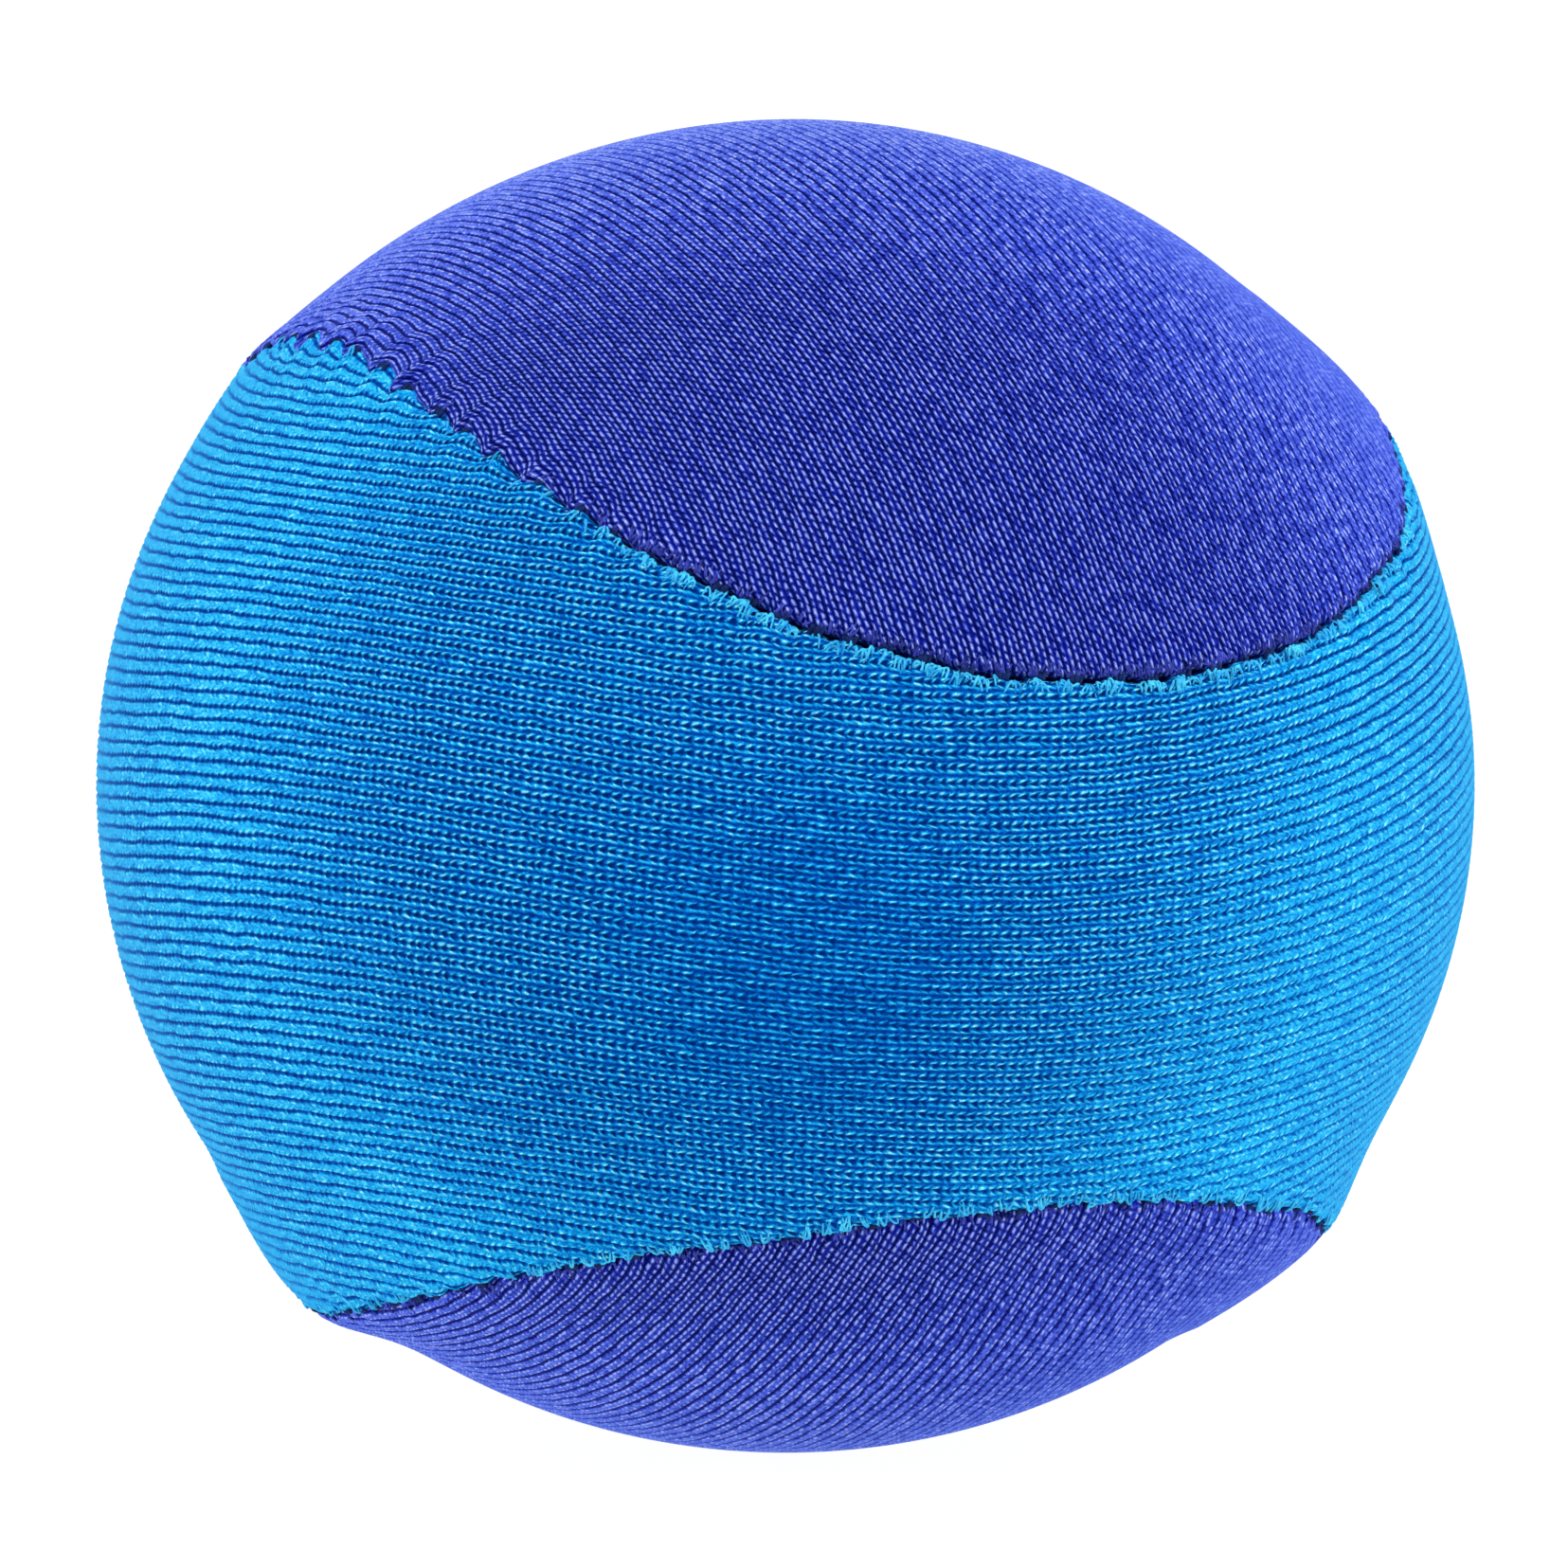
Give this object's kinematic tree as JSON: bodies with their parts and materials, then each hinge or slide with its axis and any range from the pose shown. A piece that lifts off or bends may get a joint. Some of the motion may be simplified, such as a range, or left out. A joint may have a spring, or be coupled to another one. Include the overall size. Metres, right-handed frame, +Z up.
{
  "type": "fabric-covered gel play ball",
  "caption": "Soft gel squeeze and water-bounce ball in an azure and royal blue stretch-knit cover, sewn along one tennis-ball seam.",
  "frame": {"origin": "centre of the ball", "axes": "+Z up, away from the resting flat; the azure panel's narrow waist faces -Y and its lobes lie along X; the royal panel's waist faces +Y and its lobes cover the top and the bottom"},
  "size_m": [0.055, 0.055, 0.0524],
  "materials": {
    "gel": "soft translucent gel, slightly tacky",
    "azure_knit": "ribbed nylon and elastane warp knit, light sheen",
    "royal_knit": "ribbed nylon and elastane warp knit, light sheen",
    "navy_thread": "textured sewing thread, matt"
  },
  "bodies": {
    "root": {"gel_core": "gel", "cover_panel_azure": "azure_knit", "cover_panel_royal": "royal_knit", "needle_thread": "navy_thread", "upper_looper_thread": "navy_thread", "lower_looper_thread": "navy_thread", "closing_thread": "navy_thread"}
  },
  "joints": []
}
